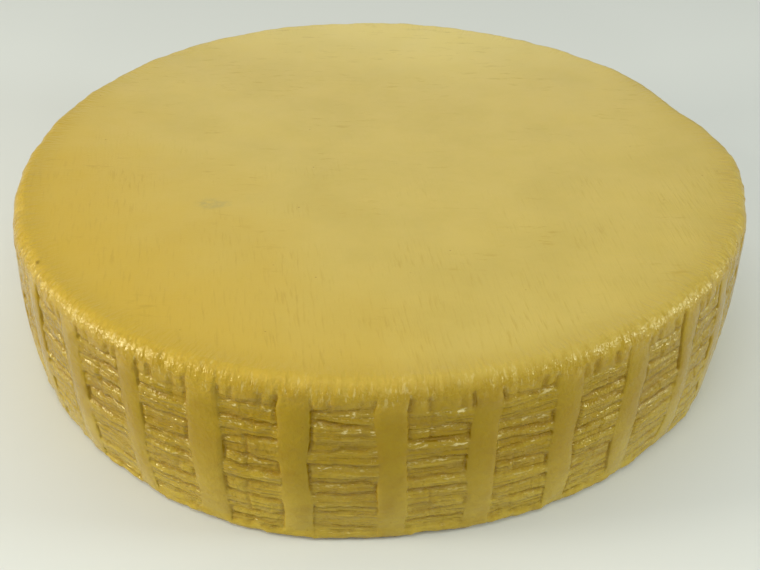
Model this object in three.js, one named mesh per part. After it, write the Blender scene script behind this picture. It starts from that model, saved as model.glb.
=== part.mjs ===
// Half wheel of hard cheese: a round wheel split through its thickness, lying on its
// rind face with the cut face up. Smooth upright bands divide the rind into sunken
// panels, each pressed with a stack of level bars.
// Millimetres, +Z up, origin on the table under the middle of the wheel's outline.

import * as THREE from "three";

// Whole form
const WHEEL_RADIUS = 225;
const WHEEL_HEIGHT = 105;
const BASE_RADIUS = 217;
const BASE_EDGE = 3;
const SIDE_SWELL_POWER = 3.2;
const SHOULDER_WIDTH = 8.5;
const SHOULDER_DROP = 9.5;
const SHOULDER_STEPS = 3;

// How far the outline is from a true circle, as shares of the radius
const OVAL_X = -0.0195;
const OVAL_Y = 0.0055;
const THREE_LOBED_X = 0.0116;
const THREE_LOBED_Y = -0.0019;

// Bulges and flats of the side: the angle of each from the front, its half width in
// degrees, and how far out it stands at the base and at the cut face
const BULGES = [
  { angle: -66, spread: 6, atBase: 1.7, atTop: 0 },
  { angle: -48, spread: 5, atBase: -1.5, atTop: 0 },
  { angle: -37, spread: 6, atBase: -2.3, atTop: 0 },
  { angle: -13, spread: 8, atBase: 2.2, atTop: 0 },
  { angle: 8, spread: 4, atBase: -0.9, atTop: 0 },
  { angle: 56, spread: 7, atBase: 2.1, atTop: 0 },
  { angle: 92, spread: 5, atBase: 0, atTop: 1.8 },
  { angle: 113, spread: 8, atBase: 0, atTop: -6 },
];

// Bands and panels round the rind, in degrees
const PANELS = 31;
const PITCH = 360 / PANELS;
const FIRST_BAND = 2.05;
const BAND_WIDTH = 3.5;
const BAND_WANDER = 0.3;
const BAND_WIDTH_WANDER = 0.5;
const PANEL_WALL = 0.3;
const SPLIT_HALF_WIDTH = 0.38;

// The stack of bars in a panel, which is shallower and finer towards the base
const PANEL_LOW = 6;
const PANEL_HIGH = 89;
const PANEL_DEPTH = 2.8;
const DEPTH_AT_FOOT = 0.5;
const FULL_DEPTH_FROM = 50;
const LOWER_LIP = 1.5;
const BARS = 9;
const BAR_GROWTH = 1.25;
const GROOVE_WANDER = 0.3;
const GROOVE_SLANT = 0.16;
const LOWEST_BAR = 0.4;
const HIGHEST_BAR = 1;
const SPLIT_FROM = 0.7;
const SPLIT_WANDER = 0.35;

const radians = THREE.MathUtils.degToRad;
const { smoothstep } = THREE.MathUtils;

// A value from 0 to 1 that looks drawn by lot for each panel and bar, and is the same
// each time: the remainders of square numbers are well mixed.
function spread(panel, bar, salt) {
  const number = 17 * panel + 29 * bar + 13 * salt;
  return ((number * number) % 101) / 100;
}

// The same, from -1 to 1.
function wander(panel, bar, salt) {
  return 2 * spread(panel, bar, salt) - 1;
}

// The outline's radius at an angle, as a share of a true circle's.
function outOfRound(angle) {
  return (
    1 +
    OVAL_X * Math.cos(2 * angle) +
    OVAL_Y * Math.sin(2 * angle) +
    THREE_LOBED_X * Math.cos(3 * angle) +
    THREE_LOBED_Y * Math.sin(3 * angle)
  );
}

// How far the bulges push the side out at an angle from the front and a height.
function bulge(degrees, z) {
  const up = z / WHEEL_HEIGHT;
  let out = 0;
  for (const { angle, spread: halfWidth, atBase, atTop } of BULGES) {
    const off = THREE.MathUtils.euclideanModulo(degrees - angle + 180, 360) - 180;
    out += (atBase * (1 - up) + atTop * up) * Math.exp(-((off / halfWidth) ** 2));
  }
  return out;
}

// The plain rind's radius at a height: it swells quickly from the base, then turns in
// over the shoulder.
function rindRadius(z) {
  const shoulderStart = WHEEL_HEIGHT - SHOULDER_DROP;
  if (z <= shoulderStart) {
    const left = 1 - z / shoulderStart;
    return BASE_RADIUS + (WHEEL_RADIUS - BASE_RADIUS) * (1 - left ** SIDE_SWELL_POWER);
  }
  const rise = Math.min((z - shoulderStart) / SHOULDER_DROP, 1);
  return WHEEL_RADIUS - SHOULDER_WIDTH * (1 - Math.sqrt(1 - rise * rise));
}

// The columns of points round the wheel. Each pitch has the band's two edges, and then
// across the panel its left foot, the three lines of a split, and its right foot.
function makeColumns() {
  const columns = [];
  const bandEdge = (n, side) => {
    const panel = n % PANELS;
    const centre = FIRST_BAND + n * PITCH + BAND_WANDER * wander(panel, 0, 1);
    const width = BAND_WIDTH + BAND_WIDTH_WANDER * wander(panel, 0, 2);
    return centre + (side * width) / 2;
  };
  for (let panel = 0; panel < PANELS; panel++) {
    columns.push({ degrees: bandEdge(panel, -1), panel, onBand: true });
    columns.push({ degrees: bandEdge(panel, 1), panel, onBand: true });
    const left = bandEdge(panel, 1) + PANEL_WALL;
    const right = bandEdge(panel + 1, -1) - PANEL_WALL;
    const half = (right - left) / 2;
    const split = left + half * (1 + SPLIT_WANDER * wander(panel, 0, 3));
    const stops = [left, split - SPLIT_HALF_WIDTH, split, split + SPLIT_HALF_WIDTH, right];
    for (const degrees of stops) {
      const across = (degrees - left) / half - 1;
      columns.push({ degrees, panel, onBand: false, across, side: Math.sign(degrees - split) });
    }
  }
  return columns;
}

// How far groove number m of a panel lies off its even place, in bars.
function grooveShift(panel, m, across) {
  if (m === 0 || m === BARS) return 0;
  return GROOVE_WANDER * wander(panel, m, 4) + GROOVE_SLANT * wander(panel, m, 5) * across;
}

// The height of a place in the stack of bars: whole numbers are grooves, and halves are
// the crests between them.
function stackHeight(place) {
  return PANEL_LOW + (PANEL_HIGH - PANEL_LOW) * (place / BARS) ** BAR_GROWTH;
}

// How far a bar rises from the panel's floor, as a share of the panel's depth. Some bars
// are split in two, and their halves then differ.
function barRise(panel, bar, side) {
  const isSplit = spread(panel, bar, 7) > SPLIT_FROM;
  if (isSplit && side === 0) return 0;
  const salt = isSplit && side > 0 ? 8 : 6;
  return LOWEST_BAR + (HIGHEST_BAR - LOWEST_BAR) * spread(panel, bar, salt);
}

// The rows of points from the axis under the base, up the rind and over to the axis on
// top. The rows in the panels know their place in the stack of bars.
function makeRows() {
  const rows = [
    { r: 0, z: 0 },
    { r: BASE_RADIUS - BASE_EDGE, z: 0 },
    { r: rindRadius(BASE_EDGE), z: BASE_EDGE },
    { r: rindRadius(PANEL_LOW - LOWER_LIP), z: PANEL_LOW - LOWER_LIP },
  ];
  for (let half = 0; half <= 2 * BARS; half++) {
    const z = stackHeight(half / 2);
    rows.push({ r: rindRadius(z), z, stack: half / 2 });
  }
  for (let step = 0; step <= SHOULDER_STEPS; step++) {
    const turn = ((step / SHOULDER_STEPS) * Math.PI) / 2;
    rows.push({
      r: WHEEL_RADIUS - SHOULDER_WIDTH * (1 - Math.cos(turn)),
      z: WHEEL_HEIGHT - SHOULDER_DROP * (1 - Math.sin(turn)),
    });
  }
  rows.push({ r: 0, z: WHEEL_HEIGHT });
  return rows;
}

// Where a row crosses a column in a panel: sunk from the plain rind, and raised again at
// the bars.
function pressedPlace({ stack }, { panel, across, side }) {
  const below = Math.floor(stack);
  const above = Math.ceil(stack);
  const shift = (grooveShift(panel, below, across) + grooveShift(panel, above, across)) / 2;
  const z = stackHeight(stack + shift);
  const deepening = smoothstep(z, PANEL_LOW, FULL_DEPTH_FROM);
  const depth = PANEL_DEPTH * (DEPTH_AT_FOOT + (1 - DEPTH_AT_FOOT) * deepening);
  const rise = above === below ? 0 : barRise(panel, below, side);
  return { r: rindRadius(z) - depth * (1 - rise), z };
}

// Where a row crosses a column.
function surfacePoint(row, column) {
  const inPanel = row.stack !== undefined && !column.onBand;
  const { r, z } = inPanel ? pressedPlace(row, column) : row;
  const angle = radians(column.degrees - 90);
  const reach = r * (outOfRound(angle) + bulge(column.degrees, z) / WHEEL_RADIUS);
  return new THREE.Vector3(reach * Math.cos(angle), reach * Math.sin(angle), z);
}

// A turned blank with the right rows and columns, whose points are then moved to the
// carved surface and centred on the outline.
function makeWheelGeometry() {
  const rows = makeRows();
  const columns = makeColumns();
  const profile = rows.map(({ r, z }) => new THREE.Vector2(r, z));
  const geometry = new THREE.LatheGeometry(profile, columns.length);
  const position = geometry.getAttribute("position");
  for (let i = 0; i < position.count; i++) {
    const column = columns[Math.floor(i / rows.length) % columns.length];
    const point = surfacePoint(rows[i % rows.length], column);
    position.setXYZ(i, point.x, point.y, point.z);
  }
  geometry.computeBoundingBox();
  const middle = geometry.boundingBox.getCenter(new THREE.Vector3());
  geometry.translate(-middle.x, -middle.y, 0);
  geometry.computeVertexNormals();
  return geometry;
}

const cheese = new THREE.MeshStandardMaterial({
  color: 0xcdb15a,
  roughness: 0.45,
  metalness: 0,
});

const halfWheel = new THREE.Mesh(makeWheelGeometry(), cheese);
halfWheel.name = "half_wheel";

const root = new THREE.Group();
root.add(halfWheel);

export default root;
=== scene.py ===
"""A half wheel of hard cheese: a wheel split through its thickness, with a satin cut face
and a rind of smooth upright bands between sunken panels, each pressed with level bars."""

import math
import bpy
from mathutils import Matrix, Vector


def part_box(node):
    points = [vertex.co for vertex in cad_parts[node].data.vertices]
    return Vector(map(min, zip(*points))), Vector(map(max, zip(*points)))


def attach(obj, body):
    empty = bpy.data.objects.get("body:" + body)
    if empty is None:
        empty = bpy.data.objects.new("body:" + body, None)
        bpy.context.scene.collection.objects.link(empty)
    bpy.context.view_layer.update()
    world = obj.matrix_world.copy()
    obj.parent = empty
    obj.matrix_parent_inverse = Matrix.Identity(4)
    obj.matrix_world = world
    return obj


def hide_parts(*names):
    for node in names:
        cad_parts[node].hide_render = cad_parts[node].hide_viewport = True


bl_info = {
    "name": "Half Wheel of Hard Cheese",
    "version": (1, 0, 0),
    "blender": (4, 5, 0),
    "location": "View3D > Sidebar > Cheese",
    "description": "Carves and finishes a half wheel of hard cheese on a pale studio floor",
    "category": "Add Mesh",
}

from types import SimpleNamespace

import bpy
import numpy as np
from bpy.props import (
    FloatProperty,
    FloatVectorProperty,
    IntProperty,
    PointerProperty,
)
from mathutils import Quaternion, Vector

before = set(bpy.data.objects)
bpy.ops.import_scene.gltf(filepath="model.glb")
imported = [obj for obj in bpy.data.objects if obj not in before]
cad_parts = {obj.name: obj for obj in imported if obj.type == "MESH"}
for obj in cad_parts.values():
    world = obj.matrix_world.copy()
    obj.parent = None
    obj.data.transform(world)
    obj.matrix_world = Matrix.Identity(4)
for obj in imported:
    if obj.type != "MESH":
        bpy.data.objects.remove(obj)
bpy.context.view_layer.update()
CAD_NODE = "half_wheel"
NODE_LOW, NODE_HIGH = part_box(CAD_NODE)

MM = 0.001

# Points round the wheel in each pitch: across the band, each wall and the panel
BAND_STEPS = 6
WALL_STEPS = 3
PANEL_STEPS = 20

# Rows of points up the wheel
EDGE_ROWS = 3
SIDE_ROWS = 78
SHOULDER_ROWS = 12

# Rings over the flat faces: the share of the flat's radius, and how many points of the
# full ring one point of this ring stands for
FACE_RINGS = ((0.988, 2), (0.966, 2), (0.937, 4), (0.9, 4), (0.855, 4), (0.795, 8),
              (0.72, 8), (0.63, 8), (0.52, 16), (0.4, 16), (0.28, 16), (0.14, 32))
BASE_RINGS = ((0.975, 2), (0.93, 4), (0.85, 8), (0.7, 8), (0.5, 16), (0.25, 32))

# Bulges and flats of the side: the angle of each from the front and its half width in
# degrees, and how far out it stands at the base and at the cut face in millimetres
BULGES = (
    (-66, 6, 1.7, 0),
    (-48, 5, -1.5, 0),
    (-37, 6, -2.3, 0),
    (-13, 8, 2.2, 0),
    (8, 4, -0.9, 0),
    (56, 7, 2.1, 0),
    (92, 5, 0, 1.8),
    (113, 8, 0, -6),
)

# Noise patterns: waves to a millimetre, layers of finer waves, and how strong those are
# where that isn't the usual half
NOISE = {
    "panel head": (0.09, 2.0),
    "panel foot": (0.12, 2.0),
    "lumps": (0.16, 2.0),
    "waves": (0.03, 2.0),
    "ridges": (0.24, 2.0, 0.6),
    "nicks": (0.06, 3.0, 0.6),
    "ragged base": (0.1, 3.0, 0.6),
    "sway": (0.03, 1.0),
    "clouds": (0.018, 6.0, 0.65),
    "stain": (0.02, 3.0),
    "bruise": (0.12, 3.0),
    "mottle": (0.25, 2.0),
    "dashes": (1.0, 3.0, 0.65),
    "dashed": (0.02, 1.0),
    "pitted": (0.03, 2.0),
    "toast": (0.05, 3.0),
    "rind patches": (0.06, 5.0, 0.75),
    "ledge flecks": (1.0, 2.0),
    "glinting ledges": (0.035, 2.0),
    "edge flecks": (0.62, 3.0, 0.6),
    "glinting edge": (0.05, 2.0),
    "edge ridges": (0.42, 2.0),
    "beads": (0.38, 2.0),
    "scratches": (1.0, 2.0, 0.6),
    "scratched": (0.022, 2.0),
    "fine lumps": (0.4, 2.0),
    "grain": (1.1, 2.0, 0.6),
    "strokes": (1.0, 2.0, 0.6),
    "stroked": (0.03, 2.0),
    "level lines": (0.36, 2.0),
    "face": (0.3, 1.0),
    "deep grooves": (0.09, 2.0),
    "gloss": (0.07, 3.0),
    "wet": (0.12, 3.0, 0.6),
}

# Noise that differs from panel to panel: how far apart two panels and the walls of one
# lie in it, and then as above
PANEL_NOISE = {
    "groove wobble": (7.3, 1.2, 1.5, 1.0),
    "groove strength": (5.1, 0.5, 1.0, 1.0),
    "bar lines": (3.7, 0.5, 1.0, 2.0, 0.6),
}

# How far noise shifts an edge, in millimetres
RAGGED = {
    "panel head": 2.5,
    "panel foot": 4.0,
    "stain": 45.0,
    "bruise": 7.0,
    "toast": 12.0,
    "face": 5.0,
}

# Rates to the side and to the back of patterns that are drawn out, times their own rate
STRETCH = {
    "dashes": (0.06, 0.24),
    "scratches": (0.06, 0.9),
    "strokes": (0.6, 0.055),
    "ledge flecks": (0.32, 0.32),
    "level lines": (0.07, 0.07),
}

# Where a form or a mark starts and where it is whole. Those of noise are in its own
# strength, and all others are in millimetres.
FADE = {
    "groove strength": (-0.3, 0.25),
    "groove floor": (0.3, 1.9),
    "notch width": (0.3, 2.1),
    "worn sides": (110.0, 200.0),
    "shallow head": (72.0, 88.0),
    "off wall": (-1.0, 4.0),
    "off side": (-14.0, -6.0),
    "base in front": (120.0, 215.0),
    "off base": (1.0, 9.0),
    "clouds": (-0.4, 0.5),
    "back sheen": (60.0, 220.0),
    "stain": (40.0, 215.0),
    "stroke marks": (0.0, 0.4),
    "mottle": (-0.35, 0.25),
    "off bruise": (2.0, 13.0),
    "off rim marks": (20.0, 150.0),
    "dashes": (0.1, 0.42),
    "dashed": (-0.05, 0.25),
    "pitted": (0.0, 0.3),
    "up the rind": (0.0, 66.0),
    "toast": (82.0, 98.0),
    "rind patches": (-0.3, 0.5),
    "crests": (0.0, 0.5),
    "ledge flecks": (0.1, 0.3),
    "glinting ledges": (-0.25, 0.2),
    "high ledges": (10.0, 80.0),
    "edge flecks": (0.1, 0.32),
    "glinting edge": (-0.3, 0.3),
    "off edge pit": (1.2, 3.2),
    "smooth face": (-2.0, 12.0),
    "beads": (84.0, 94.0),
    "scratched": (0.2, 0.45),
    "off rim": (6.0, 26.0),
    "outer face": (90.0, 200.0),
    "stroked": (-0.1, 0.45),
    "behind strokes": (-60.0, 110.0),
    "sides": (100.0, 190.0),
    "face": (-5.0, 6.0),
    "deep grooves": (-0.4, 0.1),
    "wet": (-0.1, 0.3),
    "edge": (-14.0, -4.0),
}

# Stretches with a fade at each end, in millimetres: the ledge is measured from its
# groove, and the others along the profile from the middle of the shoulder
STRETCHES = {
    "ledge": ((0.5, 1.6), (2.4, 4.4)),
    "notches": ((-17.0, -14.0), (-9.0, -4.0)),
    "ridges": ((-12.0, -6.0), (-2.0, 5.0)),
    "nicks": ((-22.0, -8.0), (0.0, 12.0)),
    "edge flecks": ((-14.0, -7.0), (2.0, 9.0)),
    "edge ridges": ((-9.0, -3.0), (3.0, 22.0)),
}

# How much of its colour each mark lays on the skin: the back sheen, the crests, the ledges
# and the glints lay painted light, and sunk, grooves and pits lay painted shade
COVER = {
    "back sheen": 0.45,
    "strokes": 0.42,
    "bruise": 0.5,
    "rim": 0.3,
    "dashes": 0.5,
    "face pits": 0.6,
    "toast": 0.8,
    "rind patches": 0.4,
    "sunk": 0.8,
    "crests": 0.4,
    "ledges": 0.22,
    "grooves": 0.62,
    "rind pits": 0.5,
    "ledge flecks": 0.8,
    "edge flecks": 0.22,
    "edge pit": 0.85,
}

# Heights of the relief that is finer than the mesh, in millimetres
FINE = {
    "edge ridges": 0.45,
    "beads": 0.35,
    "lumps": 0.22,
    "lumps in panels": 0.3,
    "grain": 0.04,
    "grain on rind": 0.03,
    "level lines": 1.2,
    "grooves": 0.6,
    "strokes": 0.12,
    "scratches": 0.1,
}

# Roughness of the plain rind, and what each place adds to it
ROUGHNESS = {
    "rind": 0.19,
    "face": 0.25,
    "edge": 0.1,
    "grooves": 0.2,
    "wet": -0.06,
    "uneven": 0.05,
}

# Spacing and reach of the small pits, dark dots of painted shade, in millimetres
FACE_PITS = (13.0, 0.75)
RIND_PITS = (11.0, 0.8)

# The part of a pit's reach that is fully dark
DOT_CORE = 0.4

# Single marks: their places in millimetres, how much shorter they are one way than
# another, and the pit's share of the grooves' colour, which paints the shade in that pit
BRUISE_PLACE = (-100.0, -59.0)
BRUISE_FLATNESS = 2.2
EDGE_PIT_PLACE = (-187.0, -123.5, 105.0)
EDGE_PIT_FLATNESS = 2.0
EDGE_PIT_SHADE = 0.6

# The painted sheen at the back of the cut face, and the way towards its warm stain
SHEEN_MIDDLE = 40.0
SHEEN_NARROWING = 0.4
STAIN_WAY = (-0.8, -0.6)

# Short notches above a panel: the place of each across it, and its number in the draws
NOTCHES = ((-1.0, 11), (-0.5, 12), (0.55, 13), (1.0, 15))
NOTCH_WANDER = 0.2

# The least of a share that otherwise runs up to 1
LEAST = {
    "groove depth": 0.35,
    "groove mark": 0.2,
    "notch": 0.35,
    "dish": 0.55,
    "lumps": 0.3,
}

# How much is lost at the head of a panel, towards the sides and behind
LOSS = {
    "depth at head": 0.3,
    "level lines at sides": 0.6,
    "grooves at sides": 0.35,
    "flecks at sides": 0.6,
    "strokes behind": 0.85,
}

# Bars: how far a worn bar rises, the rounding of its lower half beside its upper half's,
# how deep a split cuts it, how strongly splits, ends and notches are marked as grooves,
# which take painted shade, and how far notches are shaded as sunk
WORN_RISE = 0.93
LOWER_ROUNDING = 0.6
SPLIT_DEPTH = 0.55
SPLIT_MARK = 0.5
END_MARK = 0.6
NOTCH_MARK = 0.8
NOTCH_SHADE = 0.4

# Rates up the rind: one wobble of the grooves in millimetres, how often their strength
# changes, and how noise on the rounded edge is drawn out over it
WOBBLE_HEIGHT = 30.0
STRENGTH_RATE = 0.09
RIM_RATE = 0.4
FINE_RIM_RATE = 0.3

# Layers of noise that keep patterns apart
STRENGTH_LAYER = 3.0
DASH_LAYER = 5.0
SCRATCH_LAYER = 3.0

# How far the foot and the head of a panel fade, from their heights in millimetres, and
# how far in the ragged base may go
FOOT_FADE = (-2.0, 2.0)
HEAD_FADE = (-1.0, 2.8)
FARTHEST_IN = -0.5

# How far past a panel's walls its points may count
ACROSS_LIMIT = 1.3

# Strokes on the cut face: their slant, and how strong they are everywhere, in patches
# and towards the rim
STROKE_SLANT = 2 / 15
STROKES = (0.15, 0.6, 0.4)

# More dashes towards the back, to each millimetre
DASHES_BACKWARDS = 0.001

# How much a painted glint's place counts upwards
GLINT_RATE = 0.7

# Softboxes: name, place and size in metres, power in watts, and colour
WHITE = (1.0, 1.0, 1.0)
WARM = (1.0, 0.97, 0.9)
SOFTBOXES = (
    ("ceiling", (0.0, 0.0, 1.5), (1.2, 1.2), 3.8, WHITE),
    ("window", (-1.4, -0.6, 1.0), (1.0, 1.0), 2.9, (1.0, 0.98, 0.94)),
    ("back_wall", (0.0, 2.2, 0.95), (1.6, 0.6), 4.5, WHITE),
    ("low_front", (0.1, -1.6, 0.5), (0.18, 0.08), 3.4, WHITE),
    ("middle_front", (0.3, -1.5, 1.1), (0.18, 0.08), 2.6, WHITE),
    ("low_left", (-1.6, -0.35, 0.45), (0.5, 0.2), 18.0, WARM),
    ("high_left", (-1.3, -0.4, 1.1), (0.25, 0.1), 1.8, WARM),
    ("low_right", (1.6, -0.3, 0.5), (0.4, 0.16), 14.0, (0.88, 0.97, 1.0)),
    ("tube", (-0.2, -0.8, 1.5), (0.6, 0.04), 4.2, WHITE),
)
ROOM_COLOUR = (0.92, 0.98, 1.0, 1.0)
ROOM_STRENGTH = 0.44
FLOOR_REACH = 4.0
FLOOR_DROP = 0.0002
SENSOR_WIDTH = 36.0
NEAREST_SEEN = 0.01


def a_length(label, about, metres):
    """A length in the sidebar."""
    return FloatProperty(name=label, description=about, default=metres, unit="LENGTH")


def an_angle(label, about, degrees):
    """An angle in the sidebar."""
    return FloatProperty(
        name=label, description=about, default=math.radians(degrees), unit="ROTATION")


def a_number(label, about, value):
    """A plain number in the sidebar."""
    return FloatProperty(name=label, description=about, default=value)


def a_place(label, about, metres):
    """A place in the sidebar."""
    return FloatVectorProperty(
        name=label, description=about, default=metres, size=3, unit="LENGTH")


def a_colour(label, about, value):
    """A colour in the sidebar."""
    return FloatVectorProperty(
        name=label, description=about, default=value, size=3, subtype="COLOR")


def a_pair(label, about, value):
    """The cosine and sine shares of a part of the outline."""
    return FloatVectorProperty(name=label, description=about, default=value, size=2)


class WheelForm(bpy.types.PropertyGroup):
    """The plain turned form, before the rind is pressed."""

    radius: a_length("Radius", "Widest radius of the wheel", 0.225)
    base_radius: a_length("Base Radius", "Radius where the rind meets the table", 0.217)
    base_edge: a_length("Base Edge", "Rounding between the rind and the base", 0.003)
    swell_power: a_number("Swell Power", "How quickly the side swells from the base", 3.2)
    shoulder_width: a_length("Shoulder Width", "Breadth of the rounding round the cut face", 0.0085)
    shoulder_drop: a_length("Shoulder Drop", "Height of the rounding round the cut face", 0.0095)
    oval: a_pair("Oval", "Two-lobed part of the outline, as shares of the radius",
                 (-0.0195, 0.0055))
    three_lobed: a_pair("Three-lobed", "Three-lobed part of the outline", (0.0116, -0.0019))


class RindPressing(bpy.types.PropertyGroup):
    """The bands, panels and bars pressed into the rind."""

    panels: IntProperty(name="Panels", description="Sunken panels round the rind", default=31)
    first_band: an_angle("First Band", "Angle of the first band from the front", 2.05)
    band_width: an_angle("Band Width", "Angle that a smooth band takes up", 3.5)
    band_wander: an_angle("Band Wander", "How far a band lies off its even place", 0.3)
    band_width_wander: an_angle("Band Width Wander", "How far a band's width varies", 0.5)
    panel_wall: an_angle("Panel Wall", "Angle that the wall beside a band takes up", 0.3)
    panel_low: a_length("Panel Low", "Height of the foot of the panels", 0.006)
    panel_high: a_length("Panel High", "Height of the head of the panels", 0.089)
    panel_depth: a_length("Panel Depth", "How deep the panels are sunk", 0.0028)
    depth_at_foot: a_number("Depth at Foot", "Depth of a panel's foot, as a share", 0.5)
    full_depth_from: a_length("Full Depth From", "Height from which panels are fully sunk", 0.05)
    bars: IntProperty(name="Bars", description="Bars stacked in each panel", default=9)
    bar_growth: a_number("Bar Growth", "How much the bars widen upwards", 1.25)
    groove_wander: a_number("Groove Wander", "How far a groove lies off its place, in bars", 0.3)
    groove_slant: a_number("Groove Slant", "How far a groove slants, in bars", 0.16)
    lowest_bar: a_number("Lowest Bar", "Rise of the lowest bar, as a share of the depth", 0.4)
    highest_bar: a_number("Highest Bar", "Rise of the highest bar, as a share of the depth", 1.0)
    split_from: a_number("Split From", "Share of bars that have no split", 0.7)
    split_wander: a_number("Split Wander", "How far a split lies off a panel's middle", 0.35)


class CheeseColours(bpy.types.PropertyGroup):
    """The colours of the cut face and the rind, and of the painted light and shade on them."""

    face: a_colour("Face", "The cut face", (0.525, 0.382, 0.075))
    face_cloud: a_colour("Face Cloud", "Duller clouds in the cut face", (0.47, 0.342, 0.062))
    # Face Sheen paints the sheen that lights the back of the cut face
    face_sheen: a_colour("Face Sheen", "Paler cut face towards the back", (0.74, 0.6, 0.17))
    face_warm: a_colour("Face Warm", "Warmer stain towards one side of the cut face",
                        (0.505, 0.328, 0.028))
    bruise: a_colour("Bruise", "A small dull mark in the cut face", (0.3, 0.26, 0.085))
    shoulder: a_colour("Shoulder", "The rounded edge of the cut face", (0.38, 0.248, 0.016))
    rind: a_colour("Rind", "The smooth bands of the rind", (0.288, 0.183, 0.001))
    rind_low: a_colour("Rind Low", "The rind towards the base", (0.42, 0.3, 0.033))
    # Crest paints highlights on the crests of the level lines and the bars' upper edges
    crest: a_colour("Crest", "The crests of the level lines and the bars' upper edges",
                    (0.44, 0.32, 0.04))
    # Groove also paints the shade in the grooves, the sunken panels and the pits
    groove: a_colour("Groove", "The floor of the grooves between the bars",
                     (0.21, 0.103, 0.0005))
    # This colour paints glints on the bars' upper edges and on the rim
    painted_glint: a_colour("Painted Glint", "Pale waxy flecks on the upper edges of the bars and the rim",
                    (0.74, 0.64, 0.31))
    shine: a_colour("Shine", "The tint of the gloss", (1.0, 0.92, 0.5))


class StudioSettings(bpy.types.PropertyGroup):
    """The camera, which stands where the photograph was taken from, and the floor."""

    camera_place: a_place("Camera Place", "Where the camera stands", (-0.0034, -0.6997, 0.4708))
    camera_aim: a_place("Camera Aim", "The place that the camera looks at",
                        (-0.0013, 0.0174, 0.0))
    camera_roll: an_angle("Camera Roll", "How far the camera leans to the left", 0.8)
    lens: a_number("Lens", "Focal length on a 36 mm wide sensor, in millimetres", 60.18)
    floor: a_colour("Floor", "The studio floor", (0.645, 0.65, 0.585))


def adds_math(operation, swapped=False):
    """A method that adds a Math node, with the sides of the sum swapped or not."""

    def method(self, *others):
        values = (*others, self) if swapped else (self, *others)
        return self.math(operation, *values)

    return method


class Value:
    """A socket that reads as a number: sums on it add Math nodes."""

    def __init__(self, recipe, socket):
        self.recipe = recipe
        self.socket = socket

    def math(self, operation, *values):
        return self.recipe.node(
            "ShaderNodeMath", {"operation": operation}, dict(enumerate(values)))

    __add__ = adds_math("ADD")
    __radd__ = adds_math("ADD", swapped=True)
    __sub__ = adds_math("SUBTRACT")
    __rsub__ = adds_math("SUBTRACT", swapped=True)
    __mul__ = adds_math("MULTIPLY")
    __rmul__ = adds_math("MULTIPLY", swapped=True)
    __truediv__ = adds_math("DIVIDE")
    __rtruediv__ = adds_math("DIVIDE", swapped=True)
    __mod__ = adds_math("MODULO")
    __pow__ = adds_math("POWER")
    __abs__ = adds_math("ABSOLUTE")
    __gt__ = adds_math("GREATER_THAN")
    __lt__ = adds_math("LESS_THAN")
    rounded = adds_math("ROUND")
    root = adds_math("SQRT")
    at_least = adds_math("MAXIMUM")
    at_most = adds_math("MINIMUM")

    def __neg__(self):
        return self.math("MULTIPLY", self, -1.0)

    def choose(self, when_off, when_on):
        """when_on where this is 1, and when_off where it is 0."""
        return when_off + self * (when_on - when_off)


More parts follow.
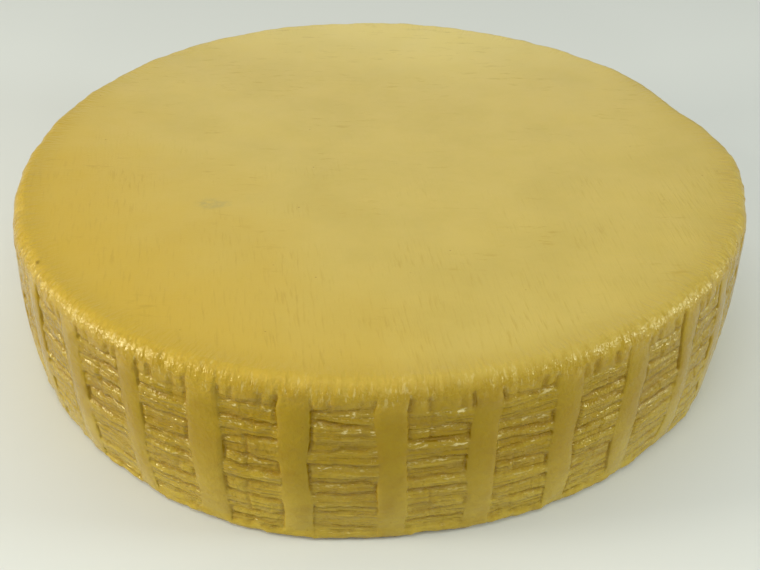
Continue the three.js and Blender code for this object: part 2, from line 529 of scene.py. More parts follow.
class Recipe:
    """Adds nodes to a tree and hands back their outputs as Values."""

    def __init__(self, tree):
        self.tree = tree

    def node(self, kind, settings=None, inputs=None, output=None):
        """A node with its settings made first, then its inputs fed by name or number."""
        made = self.tree.nodes.new(kind)
        for name, setting in (settings or {}).items():
            setattr(made, name, setting)
        for key, value in (inputs or {}).items():
            self.feed(self.find(made.inputs, key), value)
        if not made.outputs:
            return made
        if isinstance(output, tuple):
            return [Value(self, self.find(made.outputs, key)) for key in output]
        return Value(self, self.find(made.outputs, output))

    @staticmethod
    def find(sockets, key):
        """The socket with a number, or the first live one with a name."""
        if isinstance(key, int):
            return sockets[key]
        return next(s for s in sockets if s.enabled and key in (None, s.name))

    def feed(self, socket, value):
        """Links a Value to a socket, or sets the socket to a plain value."""
        if isinstance(value, Value):
            self.tree.links.new(value.socket, socket)
        elif socket.type == "RGBA":
            socket.default_value = (*tuple(value)[:3], 1.0)
        else:
            socket.default_value = value

    def smooth(self, value, low, high):
        """0 up to low, 1 from high, and a smooth rise between them."""
        return self.node(
            "ShaderNodeMapRange", {"interpolation_type": "SMOOTHSTEP"},
            {"Value": value, "From Min": low, "From Max": high})

    def crest(self, distance, width):
        """0 at no distance, 1 from the width on, and a round shoulder between them."""
        left = 1.0 - (distance / width).at_least(0.0).at_most(1.0)
        return (1.0 - left * left).root()

    def vector(self, x, y, z):
        return self.node("ShaderNodeCombineXYZ", None, {"X": x, "Y": y, "Z": z})

    def parts(self, vector):
        """The three parts of a vector."""
        return self.node("ShaderNodeSeparateXYZ", None, {"Vector": vector}, ("X", "Y", "Z"))

    def scaled(self, vector, factor):
        return self.node(
            "ShaderNodeVectorMath", {"operation": "SCALE"}, {"Vector": vector, "Scale": factor})

    def added(self, first, second):
        """The sum of two vectors."""
        return self.node(
            "ShaderNodeVectorMath", {"operation": "ADD"}, {0: first, 1: second})

    def noise(self, vector, scale, detail, roughness=0.5):
        """Noise from -1 to 1 that is near 0 in the mean."""
        drawn = self.node(
            "ShaderNodeTexNoise", {"noise_dimensions": "3D"},
            {"Vector": vector, "Scale": scale, "Detail": detail, "Roughness": roughness})
        return drawn * 2.0 - 1.0

    def pattern(self, name, vector):
        """The noise of a pattern in NOISE."""
        return self.noise(vector, *NOISE[name])

    def stretched(self, name, x, y, z):
        """The noise of a pattern in NOISE that STRETCH draws out."""
        along, back = STRETCH[name]
        return self.pattern(name, self.vector(x * along, y * back, z))

    def ragged(self, name, vector):
        """How far noise shifts an edge in RAGGED, in millimetres."""
        return self.pattern(name, vector) * RAGGED[name]

    def fade(self, name, value):
        """0 before a form or mark in FADE starts, and 1 where it is whole."""
        return self.smooth(value, *FADE[name])

    def patches(self, name, vector):
        """1 in the patches where a pattern is strong, and 0 between them."""
        return self.fade(name, self.pattern(name, vector))

    def within(self, name, value):
        """1 in a stretch of STRETCHES, and 0 outside it."""
        start, end = STRETCHES[name]
        return self.smooth(value, *start) * (1.0 - self.smooth(value, *end))

    def dots(self, vector, spacing, reach):
        """1 in small round dots, one in each cell of the spacing, and 0 between them."""
        away = self.node(
            "ShaderNodeTexVoronoi", {"voronoi_dimensions": "3D", "feature": "F1"},
            {"Vector": vector, "Scale": 1.0 / spacing}, "Distance")
        return 1.0 - self.smooth(away, DOT_CORE * reach / spacing, reach / spacing)

    def mix(self, factor, first, second):
        """A colour between two."""
        return self.node(
            "ShaderNodeMix", {"data_type": "RGBA"},
            {"Factor": factor, "A": first, "B": second})


def spread(panel, bar, salt):
    """A number from 0 to 1 that looks drawn by lot for a panel and bar, and is the same
    each time, on numbers or Values: the remainders of square numbers are well mixed."""
    number = panel * 17.0 + bar * 29.0 + 13.0 * salt
    return number * number % 101.0 / 100.0


def wander(panel, bar, salt):
    """The same, from -1 to 1."""
    return spread(panel, bar, salt) * 2.0 - 1.0


def out_of_round(angle, form):
    """The outline's radius at an angle, as a share of a true circle's."""
    return (
        1.0
        + form.oval[0] * np.cos(2 * angle) + form.oval[1] * np.sin(2 * angle)
        + form.three_lobed[0] * np.cos(3 * angle) + form.three_lobed[1] * np.sin(3 * angle)
    )


def bulge(angle, height):
    """How far the bulges push the side out, in metres."""
    degrees = np.degrees(angle) + 90.0
    up = height / NODE_HIGH.z
    out = 0.0
    for place, half_width, at_base, at_top in BULGES:
        off = (degrees - place + 180.0) % 360.0 - 180.0
        out = out + (at_base * (1 - up) + at_top * up) * np.exp(-((off / half_width) ** 2))
    return out * MM


def side_radius(height, form):
    """The plain rind's radius at a height below the shoulder."""
    left = 1.0 - height / (NODE_HIGH.z - form.shoulder_drop)
    return form.base_radius + (form.radius - form.base_radius) * (1 - left ** form.swell_power)


def wheel_columns(rind):
    """The columns of points round the wheel: their angles, and where each lies in its
    pitch. across runs from -1 to 1 over a panel, inside from 0 on a band to 1 in a panel,
    and swell from -1 to 1 over a band."""
    number = np.arange(rind.panels + 1)
    panel = number % rind.panels
    centre = rind.first_band + number * 2 * math.pi / rind.panels
    centre = centre + rind.band_wander * wander(panel, 0, 1)
    half = (rind.band_width + rind.band_width_wander * wander(panel, 0, 2)) / 2
    columns = {"angle": [], "panel": [], "across": [], "inside": [], "swell": []}
    for n in range(rind.panels):
        stops = (centre[n] - half[n], centre[n] + half[n],
                 centre[n] + half[n] + rind.panel_wall,
                 centre[n + 1] - half[n + 1] - rind.panel_wall,
                 centre[n + 1] - half[n + 1])
        for part, steps in enumerate((BAND_STEPS, WALL_STEPS, PANEL_STEPS, WALL_STEPS)):
            share = np.arange(steps) / steps
            angle = stops[part] + share * (stops[part + 1] - stops[part])
            eased = share * share * (3 - 2 * share)
            across = 2 * (angle - stops[2]) / (stops[3] - stops[2]) - 1
            columns["angle"].extend(angle - math.pi / 2)
            columns["panel"].extend(0 * share + n)
            columns["across"].extend(np.clip(across, -ACROSS_LIMIT, ACROSS_LIMIT))
            columns["inside"].extend((0 * share, eased, 0 * share + 1, 1 - eased)[part])
            columns["swell"].extend(2 * share - 1 if part == 0 else 0 * share + 1)
    return {name: np.array(values, float) for name, values in columns.items()}


def wheel_rows(form):
    """The rows of points from the base to the cut face, as (radius, height, step, climb):
    one point of a ring stands for step columns, and climb is the way along the profile
    from the middle of the shoulder in millimetres, inwards being positive."""
    top = NODE_HIGH.z
    start = top - form.shoulder_drop
    flat = form.radius - form.shoulder_width
    low_flat = form.base_radius - form.base_edge
    rows = [(share * low_flat, 0.0, step) for share, step in reversed(BASE_RINGS)]
    for k in range(EDGE_ROWS):
        turn = k / EDGE_ROWS * math.pi / 2
        rows.append((low_flat + form.base_edge * math.sin(turn),
                     form.base_edge * (1 - math.cos(turn)), 1))
    for k in range(SIDE_ROWS):
        z = form.base_edge + k / SIDE_ROWS * (start - form.base_edge)
        rows.append((side_radius(z, form), z, 1))
    for k in range(SHOULDER_ROWS + 1):
        turn = k / SHOULDER_ROWS * math.pi / 2
        rows.append((flat + form.shoulder_width * math.cos(turn),
                     start + form.shoulder_drop * math.sin(turn), 1))
    rows += [(share * flat, top, step) for share, step in FACE_RINGS]
    profile = np.array([(r, z) for r, z, step in rows])
    lengths = np.linalg.norm(np.diff(profile, axis=0), axis=1)
    way = np.concatenate([[0], np.cumsum(lengths)])
    middle = len(BASE_RINGS) + EDGE_ROWS + SIDE_ROWS + SHOULDER_ROWS // 2
    return [(*row, (w - way[middle]) / MM) for row, w in zip(rows, way)]


def ring_faces(lower, upper):
    """The faces between two rings, one of which may have half as many points."""
    (low, low_count), (high, high_count) = lower, upper
    faces = []
    for k in range(min(low_count, high_count)):
        following = (k + 1) % min(low_count, high_count)
        if low_count == high_count:
            faces.append((low + k, low + following, high + following, high + k))
            continue
        fine, coarse = (low, high) if low_count > high_count else (high, low)
        left, middle = fine + 2 * k, fine + 2 * k + 1
        right = fine + (2 * k + 2) % max(low_count, high_count)
        here, there = coarse + k, coarse + following
        trio = [(left, middle, here), (middle, there, here), (middle, right, there)]
        faces += trio if fine == low else [face[::-1] for face in trio]
    return faces


def blank_wheel(form, rind):
    """The plain turned wheel as a closed mesh, whose points know their place."""
    columns = wheel_columns(rind)
    full = len(columns["angle"])
    places, rings = [], []
    facts = {name: [] for name in ("panel", "across", "inside", "swell", "climb")}
    count = 0
    for radius, z, step, climb in wheel_rows(form):
        picked = np.arange(0, full, step)
        rings.append((count, len(picked)))
        count += len(picked)
        angle = columns["angle"][picked]
        shape = out_of_round(angle, form) + bulge(angle, z) / form.radius
        places.append(np.stack(
            [radius * shape * np.cos(angle), radius * shape * np.sin(angle), 0 * angle + z],
            axis=1))
        for name in facts:
            facts[name].append(0 * angle + climb if name == "climb" else columns[name][picked])
    points = np.concatenate(places)
    middle = (points.min(axis=0) + points.max(axis=0)) / 2
    aim = (NODE_LOW + NODE_HIGH) / 2
    points[:, :2] += (aim.x - middle[0], aim.y - middle[1])
    faces = []
    for lower, upper in zip(rings, rings[1:]):
        faces += ring_faces(lower, upper)
    hub = points[:rings[0][1]].mean(axis=0)
    under, over = count, count + 1
    points = np.concatenate([points, [(*hub[:2], 0.0), (*hub[:2], NODE_HIGH.z)]])
    faces += [(under, (k + 1) % rings[0][1], k) for k in range(rings[0][1])]
    last, around = rings[-1]
    faces += [(over, last + k, last + (k + 1) % around) for k in range(around)]
    mesh = bpy.data.meshes.new("cheese_blank")
    mesh.from_pydata(points.tolist(), [], faces)
    for name, values in facts.items():
        hubs = (values[0][0], values[-1][0]) if name == "climb" else (0.0, 0.0)
        attribute = mesh.attributes.new(name, "FLOAT", "POINT")
        attribute.data.foreach_set("value", np.append(np.concatenate(values), hubs))
    mesh.shade_smooth()
    return mesh


def from_least(name, value):
    """A share that runs from its least in LEAST up to 1."""
    return LEAST[name] + (1.0 - LEAST[name]) * value


def less(name, value):
    """What a loss in LOSS leaves, where the value says how much of it counts."""
    return 1.0 - LOSS[name] * value


def panel_noise(recipe, name, panel, across, height, layer=0.0):
    """Noise in PANEL_NOISE, which differs from panel to panel."""
    stride, sweep, *pattern = PANEL_NOISE[name]
    at = recipe.vector(panel * stride + across * sweep, height, layer)
    return recipe.noise(at, *pattern)


def nearest_groove(size, panel, across, height):
    """How far a height is from the nearest groove of its panel, the number of its bar,
    and 1 where it is in the upper half of the bar."""
    span = size["Panel High"] - size["Panel Low"]
    share = ((height - size["Panel Low"]) / span).at_least(0.0).at_most(1.0)
    near = (share ** (1.0 / size["Bar Growth"]) * size["Bars"]).rounded()
    least, bar, upper = None, None, None
    for step in (0.0, -1.0, 1.0):
        mark = near + step
        shift = wander(panel, mark, 4) * size["Groove Wander"]
        shift = shift + wander(panel, mark, 5) * size["Groove Slant"] * across
        within = (mark > 0.5) * (mark < size["Bars"] - 0.5)
        place = ((mark + shift * within) / size["Bars"]).at_least(0.0)
        off = height - size["Panel Low"] - span * place ** size["Bar Growth"]
        below_mark = off < 0.0
        this_bar = mark - below_mark
        if least is None:
            least, bar, upper = abs(off), this_bar, below_mark
            continue
        closer = abs(off) < least
        bar = closer.choose(bar, this_bar)
        upper = closer.choose(upper, below_mark)
        least = closer.choose(least, abs(off))
    return least, bar, upper


def bar_relief(recipe, size, panel, across, height, worn):
    """How far the bars fill a panel, from 0 in a groove to 1 level with the rind, and
    where its grooves and the upper edges of its bars are, from 0 to 1."""
    wobble = panel_noise(recipe, "groove wobble", panel, across, height / WOBBLE_HEIGHT)
    wavy = height + wobble * size["Groove Wobble"]
    away, bar, upper = nearest_groove(size, panel, across, wavy)
    split_at = wander(panel, 0.0, 3) * size["Split Wander"]
    split = spread(panel, bar, 7) > size["Split From"]
    beyond = split * (across > split_at)
    drawn = beyond.choose(spread(panel, bar, 6), spread(panel, bar, 8))
    rise = size["Lowest Bar"] + (size["Highest Bar"] - size["Lowest Bar"]) * drawn
    rise = worn.choose(rise, WORN_RISE)
    rounding = upper.choose(size["Bar Rounding"] * LOWER_ROUNDING, size["Bar Rounding"])
    crown = (recipe.crest(away, size["Groove Width"]) * size["Groove Sharpness"]
             + recipe.crest(away, rounding) * (1.0 - size["Groove Sharpness"]))
    strength = recipe.fade("groove strength", panel_noise(
        recipe, "groove strength", panel, across, height * STRENGTH_RATE, STRENGTH_LAYER))
    crown = 1.0 - (1.0 - crown) * from_least("groove depth", strength)
    off_split = abs(across - split_at) * size["Panel Half Width"]
    gap = 1.0 - recipe.crest(off_split, size["Groove Width"])
    lines = panel_noise(recipe, "bar lines", panel, across, height * size["Line Rate"])
    fill = rise * crown * (1.0 - split * gap * SPLIT_DEPTH) + lines * size["Line Depth"]
    floor = (1.0 - recipe.fade("groove floor", away)) * from_least("groove mark", strength)
    groove = floor.at_least(split * gap * SPLIT_MARK)
    ledge = upper * recipe.within("ledge", away)
    for side, salt in ((1.0, 9), (-1.0, 10)):
        inset = (spread(panel, bar, salt) - size["Bars Joined"]) * size["Bar Inset"]
        from_end = (side * across + 1.0) * size["Panel Half Width"] - inset
        at_end = recipe.crest(from_end, size["Groove Width"])
        fill = fill * at_end
        groove = groove.at_least((1.0 - at_end) * END_MARK)
        ledge = ledge * at_end
    return fill.at_least(0.0), groove, ledge


def head_notches(recipe, size, panel, across, inside, climb):
    """The short upright notches above a panel, from 0 to 1."""
    notches = 0.0
    for mark, salt in NOTCHES:
        at = mark + wander(panel, 0.0, salt) * NOTCH_WANDER * (1.0 - abs(mark))
        narrow = 1.0 - recipe.fade("notch width", abs(across - at) * size["Panel Half Width"])
        notches = notches + narrow * from_least("notch", spread(panel, 1.0, salt))
    return notches * recipe.within("notches", climb) * (inside > 0.0)


def edge_wear(recipe, size, climb, in_mm, rim_at):
    """The wear of the rounded edge: ridges across it, and nicks."""
    ridges = recipe.pattern("ridges", rim_at) * size["Ridge Height"]
    nicks = recipe.pattern("nicks", in_mm) * size["Nick Height"]
    return ridges * recipe.within("ridges", climb) + nicks * recipe.within("nicks", climb)


def pressed_rind_tree(sizes, finish):
    """The tree that sinks the panels into the blank wheel, raises their bars, swells the
    bands and wears the edges. Its sizes are in millimetres."""
    tree = bpy.data.node_groups.new("Pressed Rind", "GeometryNodeTree")
    tree.interface.new_socket("Geometry", in_out="INPUT", socket_type="NodeSocketGeometry")
    for name, value in sizes.items():
        made = tree.interface.new_socket(name, in_out="INPUT", socket_type="NodeSocketFloat")
        made.default_value = value
    tree.interface.new_socket("Geometry", in_out="OUTPUT", socket_type="NodeSocketGeometry")
    recipe = Recipe(tree)
    blank, *given = recipe.node("NodeGroupInput", output=("Geometry", *sizes))
    size = dict(zip(sizes, given))
    panel, across, inside, swell, climb = [
        recipe.node("GeometryNodeInputNamedAttribute", {"data_type": "FLOAT"}, {"Name": name})
        for name in ("panel", "across", "inside", "swell", "climb")
    ]
    in_mm = recipe.scaled(recipe.node("GeometryNodeInputPosition"), 1 / MM)
    x, y, height = recipe.parts(in_mm)
    radius = (x * x + y * y).root().at_least(1.0)
    girth = size["Radius"] / radius
    rim_at = recipe.vector(x * girth, y * girth, climb * RIM_RATE)

    worn = size["Worn Front"] + recipe.fade("worn sides", abs(x)) * size["Worn Sides"]
    fill, groove, ledge = bar_relief(recipe, size, panel, across, height, worn)
    lip = recipe.ragged("panel head", in_mm) + wander(panel, 0.0, 14) * size["Head Wander"]
    ragged = height + recipe.ragged("panel foot", in_mm)
    foot = recipe.smooth(ragged, *(size["Panel Low"] + off for off in FOOT_FADE))
    head = 1.0 - recipe.smooth(height + lip, *(size["Panel High"] + off for off in HEAD_FADE))
    deepening = recipe.smooth(height, size["Panel Low"], size["Full Depth From"])
    depth_share = size["Depth at Foot"] + (1.0 - size["Depth at Foot"]) * deepening
    depth_share = depth_share * less("depth at head", recipe.fade("shallow head", height))
    from_wall = (1.0 - abs(across)) * size["Panel Half Width"]
    dished = from_least("dish", recipe.fade("off wall", from_wall))
    pressed = inside * foot * head
    sunk = pressed * (1.0 - fill) * dished
    notched = head_notches(recipe, size, panel, across, inside, climb)

    on_side = 1.0 - recipe.fade("off side", climb)
    lumps = recipe.pattern("lumps", in_mm) * size["Lump Height"] * from_least("lumps", pressed)
    waves = recipe.pattern("waves", in_mm) * size["Wave Height"]
    pillow = (1.0 - swell * swell) * size["Band Swell"] * foot
    wear = edge_wear(recipe, size, climb, in_mm, rim_at)
    out = ((pillow + lumps) * on_side + waves + wear - notched * size["Notch Depth"]
           - size["Panel Depth"] * depth_share * sunk)
    in_front = recipe.fade("base in front", -y) * size["Foot Spread"]
    at_foot = recipe.pattern("ragged base", in_mm) * size["Foot Raggedness"] + in_front
    at_foot = at_foot.at_least(FARTHEST_IN) * (1.0 - recipe.fade("off base", height)) / radius
    sway = recipe.pattern("sway", in_mm) * size["Band Sway"] * on_side / radius
    normal = recipe.node("GeometryNodeInputNormal")
    moved = recipe.added(in_mm, recipe.scaled(normal, out))
    moved = recipe.added(
        moved, recipe.vector(x * at_foot - y * sway, y * at_foot + x * sway, 0.0))
    moved_x, moved_y, moved_z = recipe.parts(moved)
    on_table = recipe.vector(moved_x, moved_y, moved_z.at_least(0.0))
    carved = recipe.node("GeometryNodeSetPosition", None, {
        "Geometry": blank, "Selection": height > 0.0, "Position": recipe.scaled(on_table, MM)})
    # sunk and groove carry painted shade into the finish, and ledge painted highlights and glints
    kept = {
        "sunk": (sunk * depth_share).at_least(notched * NOTCH_SHADE),
        "pressed": pressed,
        "groove": (groove * pressed).at_least(notched * NOTCH_MARK),
        "ledge": ledge * pressed,
    }
    for name, value in kept.items():
        carved = recipe.node(
            "GeometryNodeStoreNamedAttribute", {"data_type": "FLOAT", "domain": "POINT"},
            {"Geometry": carved, "Name": name, "Value": value})
    real = recipe.node("GeometryNodeRealizeInstances", None, {"Geometry": carved})
    finished = recipe.node(
        "GeometryNodeSetMaterial", None, {"Geometry": real, "Material": finish})
    recipe.node("NodeGroupOutput", None, {"Geometry": finished})
    return tree


def face_colour(recipe, colours, at):
    """The cut face: clouds, a painted sheen towards the back, a warm stain to one side,
    strokes, a bruise, a darker rim, dashes, and painted shade in small pits."""
    clouds = recipe.patches("clouds", at.in_mm)
    skin = recipe.mix(clouds, colours.face, colours.face_cloud)
    # Painted sheen: paler towards the back of the cut face, narrowing off its middle
    pale = recipe.fade("back sheen", at.y - abs(at.x - SHEEN_MIDDLE) * SHEEN_NARROWING)
    skin = recipe.mix(pale * COVER["back sheen"], skin, colours.face_sheen)
    along, back = STAIN_WAY
    stain = recipe.fade("stain", at.x * along + at.y * back + recipe.ragged("stain", at.in_mm))
    skin = recipe.mix(stain, skin, colours.face_warm)
    stroke_marks = recipe.fade("stroke marks", at.strokes)
    skin = recipe.mix(stroke_marks * COVER["strokes"], skin, colours.shoulder)
    off_x, off_y = at.x - BRUISE_PLACE[0], at.y - BRUISE_PLACE[1]
    off = (off_x * off_x + off_y * off_y * BRUISE_FLATNESS).root()
    off = off + recipe.ragged("bruise", at.in_mm)
    bruised = (1.0 - recipe.fade("off bruise", off)) * recipe.patches("mottle", at.in_mm)
    skin = recipe.mix(bruised * COVER["bruise"], skin, colours.bruise)
    near_rim = 1.0 - recipe.fade("off rim", at.climb)
    front_and_sides = 1.0 - recipe.fade("off rim marks", at.y)
    skin = recipe.mix(near_rim * front_and_sides * COVER["rim"], skin, colours.shoulder)
    dashes = recipe.fade("dashes", recipe.stretched("dashes", at.x, at.y, DASH_LAYER))
    few = recipe.fade("dashed", recipe.pattern("dashed", at.in_mm) + at.y * DASHES_BACKWARDS)
    skin = recipe.mix(dashes * few * COVER["dashes"], skin, colours.shoulder)
    # Dark dots: painted shade in small pits
    pits = recipe.dots(at.in_mm, *FACE_PITS) * recipe.patches("pitted", at.in_mm)
    return recipe.mix(pits * COVER["face pits"], skin, colours.groove)


def rind_colour(recipe, colours, at):
    """The rind: paler at the base, with painted highlights on the crests and upper edges,
    toasted under the shoulder, with painted shade in the sunken panels, grooves and pits,
    and painted glints on the upper edges."""
    skin = recipe.mix(recipe.fade("up the rind", at.z), colours.rind_low, colours.rind)
    toasted = recipe.fade("toast", at.z + recipe.ragged("toast", at.in_mm))
    skin = recipe.mix(toasted * COVER["toast"], skin, colours.shoulder)
    # Random darker patches, with painted shade where the panels are sunk
    patches = recipe.patches("rind patches", at.in_mm)
    darker = (patches * COVER["rind patches"]).at_least(at.sunk * COVER["sunk"])
    skin = recipe.mix(darker, skin, colours.groove)
    # Painted highlights on the crests of the level lines and the bars' upper edges
    crests = recipe.fade("crests", at.levels) * COVER["crests"]
    skin = recipe.mix(crests.at_least(at.ledge * COVER["ledges"]), skin, colours.crest)
    # Painted shade in the grooves and in small pits
    pits = recipe.dots(at.in_mm, *RIND_PITS) * COVER["rind pits"]
    skin = recipe.mix((at.hollow * COVER["grooves"]).at_least(pits), skin, colours.groove)
    # Painted glints on the bars' upper edges
    glints = recipe.fade(
        "ledge flecks", recipe.stretched("ledge flecks", at.x, at.y, at.z * GLINT_RATE))
    some = recipe.patches("glinting ledges", at.in_mm)
    glints = glints * at.ledge * recipe.fade("high ledges", at.z) * some
    glints = glints * less("flecks at sides", at.sides)
    return recipe.mix(glints * COVER["ledge flecks"], skin, colours.painted_glint)


def edge_marks(recipe, colours, at, skin):
    """The skin with the marks on the rounded edge: painted glints, and the painted shade of one
    pit.
    """
    # Painted glints on the rounded edge
    some = recipe.patches("glinting edge", at.in_mm)
    glints = recipe.patches("edge flecks", at.rim_at)
    glints = glints * recipe.within("edge flecks", at.climb) * some
    skin = recipe.mix(glints * COVER["edge flecks"], skin, colours.painted_glint)
    # Painted shade in one pit
    off_x, off_y, off_z = (
        way - pit_way for way, pit_way in zip((at.x, at.y, at.z), EDGE_PIT_PLACE))
    off = (off_x * off_x + off_y * off_y + off_z * off_z * EDGE_PIT_FLATNESS).root()
    pit = 1.0 - recipe.fade("off edge pit", off)
    pit_colour = tuple(part * EDGE_PIT_SHADE for part in colours.groove)
    return recipe.mix(pit * COVER["edge pit"], skin, pit_colour)


def fine_relief(recipe, at):
    """The relief that is finer than the mesh, in millimetres."""
    on_face = recipe.fade("smooth face", at.climb)
    off_face = 1.0 - on_face
    ridges = recipe.pattern("edge ridges", at.rim_at) * recipe.within("edge ridges", at.climb)
    beads = recipe.pattern("beads", at.in_mm) * recipe.fade("beads", at.z) * off_face
    scratches = recipe.stretched("scratches", at.x, at.y, SCRATCH_LAYER)
    few = recipe.patches("scratched", at.in_mm)
    lumps = recipe.pattern("fine lumps", at.in_mm) * off_face
    grain = recipe.pattern("grain", at.in_mm)
    relief = ridges * FINE["edge ridges"] + beads * FINE["beads"]
    relief = relief + lumps * (FINE["lumps"] + at.pressed * FINE["lumps in panels"])
    relief = relief + grain * (FINE["grain"] + off_face * FINE["grain on rind"])
    relief = relief + at.levels * FINE["level lines"] - at.hollow * FINE["grooves"]
    lines = at.strokes * FINE["strokes"] + scratches * few * FINE["scratches"]
    return relief + lines * on_face


def finish_places(recipe, form):
    """What the finish needs to know of each place on the cheese: where it is, how it is
    pressed, and the patterns that its colour and its relief share."""
    at = SimpleNamespace()
    at.in_mm = recipe.scaled(recipe.node("ShaderNodeTexCoord", output="Object"), 1 / MM)
    at.x, at.y, at.z = recipe.parts(at.in_mm)
    at.climb, at.sunk, at.pressed, groove, at.ledge = [
        recipe.node("ShaderNodeAttribute", {"attribute_name": name}, output="Fac")
        for name in ("climb", "sunk", "pressed", "groove", "ledge")
    ]
    radius = (at.x * at.x + at.y * at.y).root().at_least(1.0)
    girth = form.radius / MM / radius
    at.rim_at = recipe.vector(at.x * girth, at.y * girth, at.climb * FINE_RIM_RATE)
    at.on_face = recipe.fade("face", at.climb + recipe.ragged("face", at.rim_at))
    at.sides = recipe.fade("sides", abs(at.x))

    everywhere, in_patches, at_rim = STROKES
    patches = recipe.patches("stroked", at.in_mm)
    stroked = everywhere + patches * in_patches + recipe.fade("outer face", radius) * at_rim
    stroked = stroked * less("strokes behind", recipe.fade("behind strokes", at.y))
    slanted = at.x + at.y * STROKE_SLANT
    at.strokes = recipe.stretched("strokes", slanted, at.y, 0.0) * stroked
    levels = recipe.stretched("level lines", at.x, at.y, at.z) * at.pressed
    at.levels = levels * less("level lines at sides", at.sides)
    hollow = groove * recipe.patches("deep grooves", at.in_mm)
    at.hollow = hollow * less("grooves at sides", at.sides)
    return at


def finish_roughness(recipe, at):
    """How rough the cheese is: satin on the cut face and glossier on the rind."""
    off_face = 1.0 - at.on_face
    shares = {
        "face": at.on_face,
        "edge": recipe.fade("edge", at.climb) * off_face,
        "grooves": at.hollow,
        "wet": recipe.patches("wet", at.in_mm) * off_face,
        "uneven": recipe.pattern("gloss", at.in_mm),
    }
    roughness = ROUGHNESS["rind"]
    for name, share in shares.items():
        roughness = roughness + share * ROUGHNESS[name]
    return roughness


def cheese_finish(colours, form):
    """Hard cheese: a satin cut face over a darker, glossier rind."""
    material = bpy.data.materials.new("hard_cheese")
    material.use_nodes = True
    material.node_tree.nodes.clear()
    recipe = Recipe(material.node_tree)
    at = finish_places(recipe, form)
    face = face_colour(recipe, colours, at)
    rind = rind_colour(recipe, colours, at)
    skin = edge_marks(recipe, colours, at, recipe.mix(at.on_face, rind, face))
    relief = fine_relief(recipe, at)
    bump = recipe.node("ShaderNodeBump", None, {"Distance": MM, "Height": relief})
    surface = recipe.node("ShaderNodeBsdfPrincipled", None, {
        "Base Color": skin, "Roughness": finish_roughness(recipe, at), "Normal": bump,
        "IOR": 1.5, "Specular Tint": colours.shine, "Subsurface Weight": 0.1,
        "Subsurface Scale": 0.003, "Subsurface Radius": (1.0, 0.6, 0.25)})
    recipe.node("ShaderNodeOutputMaterial", None, {"Surface": surface})
    return material


def floor_finish(colour):
    """A plain pale studio floor."""
    material = bpy.data.materials.new("pale_floor")
    material.use_nodes = True
    material.node_tree.nodes.clear()
    recipe = Recipe(material.node_tree)
    surface = recipe.node(
        "ShaderNodeBsdfPrincipled", None,
        {"Base Color": tuple(colour), "Roughness": 0.9, "Specular IOR Level": 0.1})
    recipe.node("ShaderNodeOutputMaterial", None, {"Surface": surface})
    return material


def plain_copy(maker, name):
    """A plain mesh object of what an object's modifiers make, and the object removed."""
    graph = bpy.context.evaluated_depsgraph_get()
    mesh = bpy.data.meshes.new_from_object(
        maker.evaluated_get(graph), preserve_all_data_layers=True, depsgraph=graph)
    mesh.name = name
    made = bpy.data.objects.new(name, mesh)
    bpy.context.scene.collection.objects.link(made)
    maker.modifiers.clear()
    bpy.data.objects.remove(maker)
    return made


class CHEESE_OT_half_wheel(bpy.types.Operator):
    """Make the half wheel of cheese, with its pressed rind"""

    bl_idname = "cheese.half_wheel"
    bl_label = "Half Wheel"

    def execute(self, context):
        scene = context.scene
        form, rind = scene.cheese_form, scene.cheese_rind
        panel_turn = 2 * math.pi / rind.panels - rind.band_width - 2 * rind.panel_wall
        sizes = {
            "Radius": form.radius / MM,
            "Panel Low": rind.panel_low / MM,
            "Panel High": rind.panel_high / MM,
            "Panel Half Width": panel_turn / 2 * form.radius / MM,
            "Panel Depth": rind.panel_depth / MM,
            "Depth at Foot": rind.depth_at_foot,
            "Full Depth From": rind.full_depth_from / MM,
            "Bars": float(rind.bars),
            "Bar Growth": rind.bar_growth,
            "Bar Rounding": 5.5,
            "Bar Inset": 4.0,
            "Bars Joined": 0.75,
            "Lowest Bar": rind.lowest_bar,
            "Highest Bar": rind.highest_bar,
            "Groove Wander": rind.groove_wander,
            "Groove Slant": rind.groove_slant,
            "Groove Wobble": 2.0,
            "Groove Width": 1.5,
            "Groove Sharpness": 0.3,
            "Line Depth": 0.6,
            "Line Rate": 0.24,
            "Worn Front": 0.1,
            "Worn Sides": 0.72,
            "Split From": rind.split_from,
            "Split Wander": rind.split_wander,
            "Head Wander": 2.6,
            "Lump Height": 0.9,
            "Wave Height": 0.8,
            "Band Swell": 0.6,
            "Band Sway": 3.6,
            "Ridge Height": 0.9,
            "Nick Height": 1.1,
            "Notch Depth": 1.4,
            "Foot Raggedness": 2.6,
            "Foot Spread": 1.6,
        }
        tree = pressed_rind_tree(sizes, cheese_finish(scene.cheese_colours, form))
        blank = bpy.data.objects.new("cheese_blank", blank_wheel(form, rind))
        scene.collection.objects.link(blank)
        pressing = blank.modifiers.new("Pressing", "NODES")
        pressing.node_group = tree
        for item in tree.interface.items_tree:
            if item.name in sizes:
                pressing[item.identifier] = sizes[item.name]
        wheel = plain_copy(blank, "cheese_half_wheel")
        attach(wheel, "root")
        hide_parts(CAD_NODE)
        return {"FINISHED"}


def add_softbox(name, place, size, power, colour):
    """An area light at a place, turned to the middle of the cheese."""
    light = bpy.data.lights.new(name, "AREA")
    light.shape = "RECTANGLE"
    light.size, light.size_y = size
    light.energy = power
    light.color = colour
    lamp = bpy.data.objects.new(name, light)
    lamp.location = place
    towards = Vector((0.0, 0.0, NODE_HIGH.z / 2)) - lamp.location
    lamp.rotation_euler = towards.to_track_quat("-Z", "Y").to_euler()
    bpy.context.scene.collection.objects.link(lamp)


def add_floor(colour):
    """A wide flat floor, just under the cheese."""
    corners = [(side * FLOOR_REACH, end * FLOOR_REACH, -FLOOR_DROP)
               for side, end in ((-1, -1), (1, -1), (1, 1), (-1, 1))]
    mesh = bpy.data.meshes.new("studio_floor")
    mesh.from_pydata(corners, [], [(0, 1, 2, 3)])
    mesh.materials.append(floor_finish(colour))
    floor = bpy.data.objects.new("studio_floor", mesh)
    bpy.context.scene.collection.objects.link(floor)


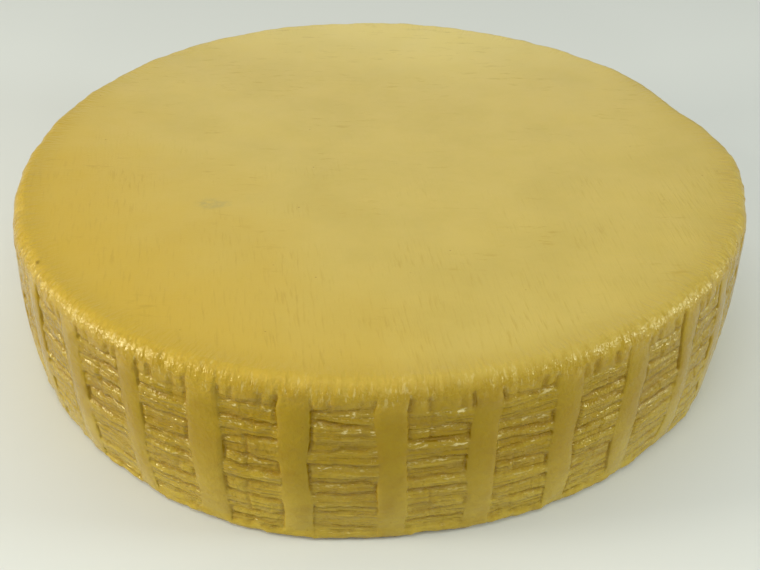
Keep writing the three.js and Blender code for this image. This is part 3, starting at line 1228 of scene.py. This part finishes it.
def add_camera(studio):
    """The camera, where the photograph was taken from."""
    data = bpy.data.cameras.new("camera")
    data.lens = studio.lens
    data.sensor_width = SENSOR_WIDTH
    data.clip_start = NEAREST_SEEN
    camera = bpy.data.objects.new("camera", data)
    camera.location = studio.camera_place
    towards = Vector(studio.camera_aim) - Vector(studio.camera_place)
    level = towards.to_track_quat("-Z", "Y")
    camera.rotation_euler = (level @ Quaternion((0, 0, 1), studio.camera_roll)).to_euler()
    bpy.context.scene.collection.objects.link(camera)
    bpy.context.scene.camera = camera


class CHEESE_OT_studio(bpy.types.Operator):
    """Set up the floor, the lights and the camera"""

    bl_idname = "cheese.studio"
    bl_label = "Studio"

    def execute(self, context):
        scene = context.scene
        add_floor(scene.cheese_studio.floor)
        world = bpy.data.worlds.new("soft_room")
        world.use_nodes = True
        background = world.node_tree.nodes["Background"]
        background.inputs["Color"].default_value = ROOM_COLOUR
        background.inputs["Strength"].default_value = ROOM_STRENGTH
        scene.world = world
        for softbox in SOFTBOXES:
            add_softbox(*softbox)
        add_camera(scene.cheese_studio)
        scene.view_settings.view_transform = "Standard"
        return {"FINISHED"}


class CHEESE_PT_panel(bpy.types.Panel):
    """Lists the makers and their sizes in the 3D view's sidebar"""

    bl_idname = "CHEESE_PT_panel"
    bl_label = "Half Wheel of Cheese"
    bl_space_type = "VIEW_3D"
    bl_region_type = "UI"
    bl_category = "Cheese"

    def draw(self, context):
        layout = self.layout
        for maker in (CHEESE_OT_half_wheel, CHEESE_OT_studio):
            layout.operator(maker.bl_idname)
        for name in GROUPS:
            group = getattr(context.scene, name)
            box = layout.box()
            for entry in group.bl_rna.properties:
                if entry.identifier not in ("name", "rna_type"):
                    box.prop(group, entry.identifier)


GROUPS = {
    "cheese_form": WheelForm,
    "cheese_rind": RindPressing,
    "cheese_colours": CheeseColours,
    "cheese_studio": StudioSettings,
}
CLASSES = (*GROUPS.values(), CHEESE_OT_half_wheel, CHEESE_OT_studio, CHEESE_PT_panel)


def register():
    for made in CLASSES:
        bpy.utils.register_class(made)
    for name, group in GROUPS.items():
        setattr(bpy.types.Scene, name, PointerProperty(type=group))


def unregister():
    for name in GROUPS:
        delattr(bpy.types.Scene, name)
    for made in reversed(CLASSES):
        bpy.utils.unregister_class(made)


def main():
    register()
    bpy.ops.cheese.half_wheel()
    bpy.ops.cheese.studio()


if __name__ == "__main__":
    main()
